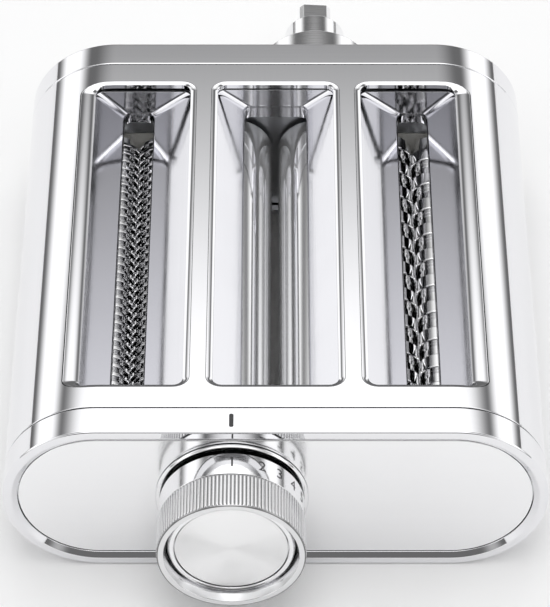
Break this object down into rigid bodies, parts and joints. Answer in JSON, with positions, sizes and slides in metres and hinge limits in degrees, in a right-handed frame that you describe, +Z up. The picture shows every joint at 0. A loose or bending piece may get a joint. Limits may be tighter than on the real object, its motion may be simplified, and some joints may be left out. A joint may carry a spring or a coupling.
{
  "type": "pasta roller and cutter attachment",
  "caption": "Stadium-shaped steel pasta roller for a stand mixer: sheet rollers and two cutter pairs under top feed mouths, a numbered thickness dial, a square drive shaft.",
  "frame": {"origin": "middle of the bounding box, on the surface that the casing's flat underside rests on", "axes": "+Z up; +Y from the dial at the front towards the drive shaft at the rear; +X to the right as seen from the dial"},
  "size_m": [0.17, 0.2638, 0.06],
  "materials": {
    "polished_steel": "mirror polished stainless steel",
    "satin_steel": "machined, lightly polished",
    "spun_steel": "spun in fine rings round its middle",
    "hopper_steel": "pressed and polished sheet",
    "roller_steel": "ground and polished",
    "cutter_steel": "machined",
    "plate_steel": "plain ground steel",
    "gear_steel": "sintered and oiled",
    "spring_steel": "drawn spring wire",
    "bush_nylon": "natural nylon",
    "scraper_nylon": "black food-safe nylon"
  },
  "bodies": {
    "root": {"housing_shell": "polished_steel", "front_cap": "polished_steel", "front_panel": "polished_steel", "rear_cap": "polished_steel", "hub_collar": "satin_steel", "hub_sleeve": "satin_steel", "spaghetti_hopper": "hopper_steel", "sheet_hopper": "hopper_steel", "fettuccine_hopper": "hopper_steel", "front_plate": "plate_steel", "rear_plate": "plate_steel", "tie_rod_1": "plate_steel", "tie_rod_2": "plate_steel", "tie_rod_3": "plate_steel", "tie_rod_4": "plate_steel", "rear_screw_1": "satin_steel", "rear_screw_2": "satin_steel", "rear_screw_3": "satin_steel", "rear_screw_4": "satin_steel", "axle_bush": "bush_nylon", "drive_bush_front": "bush_nylon", "drive_bush_rear": "bush_nylon", "right_scraper": "scraper_nylon", "spaghetti_block_front": "bush_nylon", "spaghetti_block_rear": "bush_nylon", "fettuccine_block_front": "bush_nylon", "fettuccine_block_rear": "bush_nylon", "spaghetti_comb_inner": "cutter_steel", "spaghetti_comb_outer": "cutter_steel", "fettuccine_comb_inner": "cutter_steel", "fettuccine_comb_outer": "cutter_steel", "dial_plate": "satin_steel"},
    "adjuster": {"eccentric_axle": "plate_steel", "retaining_screw": "satin_steel", "knob_spring": "spring_steel"},
    "knob": {"knob_grip": "satin_steel", "dial_skirt": "polished_steel", "knob_bezel": "polished_steel", "knob_disc": "spun_steel", "index_pin": "satin_steel"},
    "scraper_carrier": {"left_scraper": "scraper_nylon", "scraper_hanger_front": "plate_steel", "scraper_hanger_rear": "plate_steel"},
    "left_roller": {"left_sheet_roller": "roller_steel", "left_roller_gear": "gear_steel"},
    "drive": {"right_sheet_roller": "roller_steel", "drive_shaft": "satin_steel", "drive_gear": "gear_steel"},
    "spaghetti_inner": {"spaghetti_cutter_inner": "cutter_steel", "spaghetti_gear": "gear_steel", "spaghetti_pair_gear_inner": "gear_steel"},
    "spaghetti_outer": {"spaghetti_cutter_outer": "cutter_steel", "spaghetti_pair_gear_outer": "gear_steel"},
    "fettuccine_inner": {"fettuccine_cutter_inner": "cutter_steel", "fettuccine_gear": "gear_steel", "fettuccine_pair_gear_inner": "gear_steel"},
    "fettuccine_outer": {"fettuccine_cutter_outer": "cutter_steel", "fettuccine_pair_gear_outer": "gear_steel"}
  },
  "joints": [
    {"name": "drive_spin", "type": "hinge", "parent": "root", "child": "drive", "pos_m": [0.01405, -0.01512, 0.02923], "axis": [0, 1, 0], "continuous": true},
    {"name": "knob_turn", "type": "hinge", "parent": "root", "child": "adjuster", "pos_m": [-0.01355, -0.10812, 0.03], "axis": [0, -1, 0], "range_deg": [0, 121]},
    {"name": "knob_pull", "type": "slide", "parent": "adjuster", "child": "knob", "axis": [0, -1, 0], "range_m": [0, 0.004], "stiffness_N_per_m": 400, "springref_m": -0.002, "deforming": ["knob_spring"]},
    {"name": "carrier_swivel", "type": "hinge", "parent": "adjuster", "child": "scraper_carrier", "pos_m": [-0.01445, -0.01512, 0.02949], "axis": [0, -1, 0], "range_deg": [-121, 0]},
    {"name": "left_roller_spin", "type": "hinge", "parent": "scraper_carrier", "child": "left_roller", "pos_m": [-0.01445, -0.01512, 0.02949], "axis": [0, 1, 0], "continuous": true},
    {"name": "spaghetti_inner_spin", "type": "hinge", "parent": "root", "child": "spaghetti_inner", "pos_m": [-0.04022, -0.01512, 0.02923], "axis": [0, 1, 0], "continuous": true},
    {"name": "spaghetti_outer_spin", "type": "hinge", "parent": "root", "child": "spaghetti_outer", "pos_m": [-0.05362, -0.01512, 0.02923], "axis": [0, 1, 0], "continuous": true},
    {"name": "fettuccine_inner_spin", "type": "hinge", "parent": "root", "child": "fettuccine_inner", "pos_m": [0.03982, -0.01512, 0.02923], "axis": [0, 1, 0], "continuous": true},
    {"name": "fettuccine_outer_spin", "type": "hinge", "parent": "root", "child": "fettuccine_outer", "pos_m": [0.05322, -0.01512, 0.02923], "axis": [0, 1, 0], "continuous": true}
  ],
  "couplings": [
    {"joint": "left_roller_spin", "follows": "drive_spin", "ratio": -1},
    {"joint": "spaghetti_inner_spin", "follows": "drive_spin", "ratio": 1.0667},
    {"joint": "spaghetti_outer_spin", "follows": "drive_spin", "ratio": -1.0667},
    {"joint": "fettuccine_inner_spin", "follows": "drive_spin", "ratio": -1.0667},
    {"joint": "fettuccine_outer_spin", "follows": "drive_spin", "ratio": 1.0667},
    {"joint": "carrier_swivel", "follows": "knob_turn", "ratio": -1}
  ]
}
